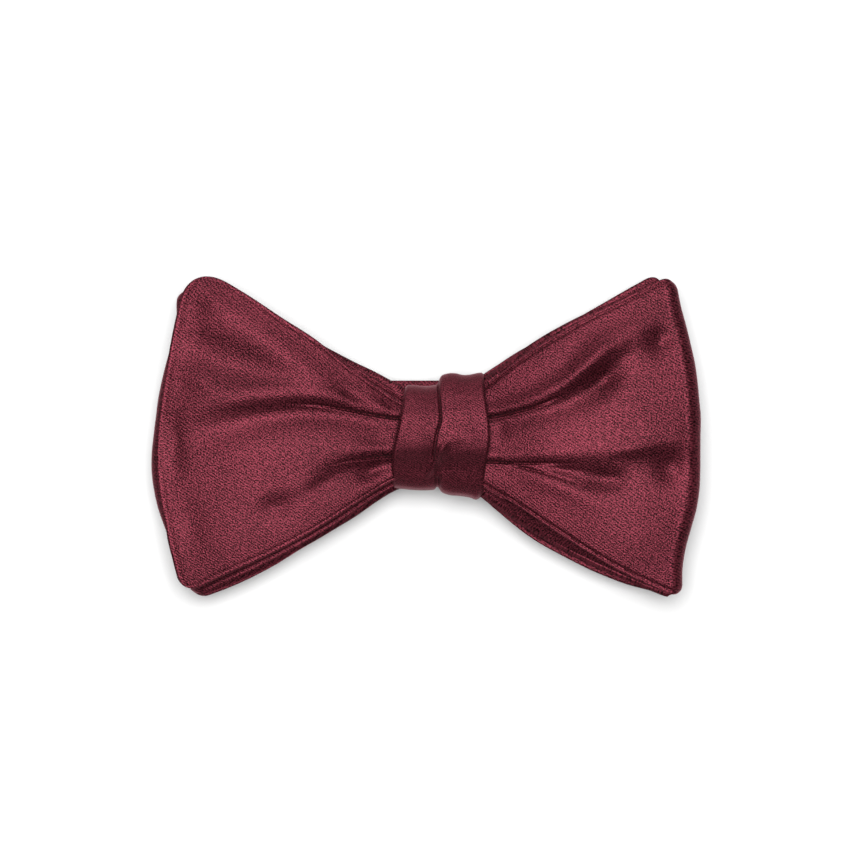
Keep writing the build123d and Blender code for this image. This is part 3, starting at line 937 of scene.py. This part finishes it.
def makeStrap(name, path, nodes, body):
    # a flat woven band with soft edges, swept along a path in the long section
    path = np.array(path)
    ahead = unitRows(np.gradient(path, axis=0))
    normal = np.stack([-ahead[:, 1], ahead[:, 0]], axis=1)
    ring = bandSection(cloth, bandHigh - bandLow)
    length = np.r_[0, np.cumsum(np.linalg.norm(np.diff(path, axis=0), axis=1))]
    surface = np.zeros((len(ring), len(path), 3))
    surface[..., 0] = path[None, :, 0] + normal[None, :, 0] * ring[:, None, 1]
    surface[..., 1] = (bandHigh + bandLow) / 2 + ring[:, None, 0]
    surface[..., 2] = path[None, :, 1] + normal[None, :, 1] * ring[:, None, 1]
    weave = np.stack(np.broadcast_arrays(length[None, :], ring[:, None, 0]), axis=-1)
    piece = gridPiece(name, surface, weave)
    faceOutwards(piece, closeEnds=True)
    pick(piece)
    bpy.ops.object.shade_smooth_by_angle(angle=math.radians(bandLook["smoothAngle"]))
    piece.select_set(False)
    finishPiece(piece, satin, body, nodes)
    return piece


# the long section of the folded neckband, in metres, taken from the frame
bandLow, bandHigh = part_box("center_band")[0].y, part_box("center_band")[1].y
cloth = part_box("tail_run")[1].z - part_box("tail_run")[0].z
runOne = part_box("center_band")[1].z - cloth / 2
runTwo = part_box("slide_band")[1].z - cloth / 2
runThree = 2 * runTwo - runOne
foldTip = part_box("center_band")[1].x
foldRadius = (runOne - runTwo) / 2
foldX = foldTip - foldRadius - cloth / 2
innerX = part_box("slide_band")[0].x + foldRadius + cloth / 2
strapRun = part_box("strap_near_run")[0].z + cloth / 2
lowRun = cloth / 2
ringRadius = (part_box("ring_turn")[1].z - cloth) / 2
highRun = lowRun + 2 * ringRadius
fittingZ = lowRun + ringRadius
slideBox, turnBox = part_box("strap_crossing"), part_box("ring_turn")
slideX = (slideBox[0].x + slideBox[1].x) / 2
ringX = turnBox[0].x + ringRadius + cloth / 2

centerPath = straight((-foldX, runOne), (foldX, runOne))
makeStrap("center_band_cloth", centerPath, ["center_band", "center_band_interlining"], "bow")


def makeFold(name, side):
    path = [(foldX, runOne)]
    turnRound(path, (foldX, runOne - foldRadius), -180, 24)
    piece = makeStrap(name, [(side * x, z) for x, z in path], [], None)
    middle = runOne - foldRadius
    inner = foldRadius - cloth / 2
    start = (side * foldX, 0, middle + inner)
    end = (side * foldX, 0, middle - inner)
    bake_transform(piece)


makeFold("hook_side_fold", -1)
makeFold("slide_side_fold", 1)


def foldedPath(lastRun):
    # the runs behind a wing, from the outer fold to where the last run begins
    lastRadius = (runThree - lastRun) / 2
    lastX = foldTip - lastRadius - cloth / 2
    runs = straight((foldX, runTwo), (innerX, runTwo))
    turnRound(runs, (innerX, (runTwo + runThree) / 2), 180)
    lineTo(runs, (lastX, runThree))
    turnRound(runs, (lastX, (runThree + lastRun) / 2), -180)
    return runs, lastX


def makeSlideSide():
    path, lastX = foldedPath(strapRun)
    makeStrap("slide_band_cloth", path, ["slide_band", "slide_band_interlining"], "slide_side_band")
    nearEnd, farEnd = slideBox[1].x, slideBox[0].x
    nearPath = straight((lastX, strapRun), (nearEnd, strapRun))
    nearRun = makeStrap("strap_near_run_cloth", nearPath, ["strap_near_run"], None)
    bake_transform(nearRun)

    barZ = (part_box("band_slide")[0].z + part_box("band_slide")[1].z) / 2
    crossTop = slideBox[1].z - cloth / 2
    climb = math.radians(bandLook["climb"])
    crossHalf = (crossTop - barZ) * math.tan(climb / 2)
    crossFoot = crossHalf + (crossTop - strapRun) / math.tan(climb)
    crossPath = straight(
        (nearEnd, strapRun), (slideX + crossFoot, strapRun), (slideX + crossHalf, crossTop),
        (slideX - crossHalf, crossTop), (slideX - crossFoot, strapRun), (farEnd, strapRun))
    makeStrap("strap_crossing_cloth", crossPath, ["strap_crossing"], "slide")

    ringEnd = turnBox[1].x
    lead = bandLook["nearSlide"]
    farPath = straight((farEnd, strapRun), (farEnd - lead, strapRun), (ringEnd + lead, highRun),
        (ringEnd, highRun))
    farRun = makeStrap("strap_far_run_cloth", farPath, ["strap_far_run"], None)
    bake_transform(farRun)
    tailPath = straight((ringEnd, lowRun), (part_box("tail_run")[1].x, lowRun))
    tailRun = makeStrap("tail_run_cloth", tailPath, ["tail_run"], None)
    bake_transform(tailRun)

    ringPath = straight((ringEnd, highRun), (ringX, highRun))
    turnRound(ringPath, (ringX, fittingZ), 180)
    lineTo(ringPath, (ringEnd, lowRun))
    makeStrap("ring_turn_cloth", ringPath, ["ring_turn"], "strap_end")
    loopPath = straight(
        (farEnd, lowRun), (slideX - crossFoot + bandLook["tailFlat"] * cloth, lowRun),
        (slideX - bandLook["nearBar"], strapRun), (slideX, strapRun))
    turnRound(loopPath, (slideX, barZ), bandLook["tailWrap"], 36)
    makeStrap("tail_loop_cloth", loopPath, ["tail_loop"], "slide")


def makeHookSide():
    path, lastX = foldedPath(highRun)
    lineTo(path, (ringX, highRun))
    turnRound(path, (ringX, fittingZ), 180)
    lineTo(path, (-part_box("hook_bar_tack")[0].x + bandLook["tackRoom"], lowRun))
    path = [(-x, z) for x, z in path]
    makeStrap("hook_band_cloth", path, ["hook_band", "hook_band_interlining"], "hook_side_band")


makeSlideSide()
makeHookSide()
print("neckband made")

fittings = {"band_slide": nickel, "neck_ring": nickel, "neck_hook": nickel, "hook_bar_tack": sewingThread}
for node, material in fittings.items():
    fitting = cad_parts[node]
    fitting.data.materials.clear()
    fitting.data.materials.append(material)
print("fittings finished")


# sizes and places in metres
studio = {
    "floor": (0.50, 0.50, 0.50, 1),
    "floorSize": 6,
    "overhead": {"place": (0, 0.15, 2.2), "size": 1.0, "power": 96.0},
    "back": {"place": (-0.2, 1.3, 0.8), "size": 0.8, "power": 11.0},
    "sky": 0.30,
    "viewWidth": 0.1892,
    "cameraPlace": (0.00066, 0.00132),
    "cameraAbove": 1.4,
    "bowHeight": 0.022,
    "sensor": 36,
    "nearest": 0.05,
}
bpy.ops.mesh.primitive_plane_add(size=studio["floorSize"], location=(0, 0, 0))
floor = bpy.context.object
floor.name = "floor"
paper = Finish("white paper")
paper.feed("Base Color", studio["floor"])
paper.feed("Roughness", 0.9)
floor.data.materials.append(paper.material)


def softLight(name, lamp):
    bpy.ops.object.light_add(type="AREA", location=lamp["place"])
    light = bpy.context.object
    light.name = name
    light.data.shape = "DISK"
    light.data.size = lamp["size"]
    light.data.energy = lamp["power"]
    light.rotation_euler = (-Vector(lamp["place"])).to_track_quat("-Z", "Y").to_euler()


softLight("overhead", studio["overhead"])
softLight("back", studio["back"])
world = bpy.data.worlds.new("studio")
bpy.context.scene.world = world
world.use_nodes = True
sky = world.node_tree.nodes["Background"]
sky.inputs["Color"].default_value = (1, 1, 1, 1)
sky.inputs["Strength"].default_value = studio["sky"]

cameraZ = studio["cameraAbove"] + studio["bowHeight"]
bpy.ops.object.camera_add(location=(*studio["cameraPlace"], cameraZ), rotation=(0, 0, 0))
camera = bpy.context.object
camera.data.sensor_width = studio["sensor"]
camera.data.lens = studio["sensor"] * studio["cameraAbove"] / studio["viewWidth"]
camera.data.clip_start = studio["nearest"]
bpy.context.scene.camera = camera
bpy.context.scene.view_settings.view_transform = "Standard"
print("studio made")
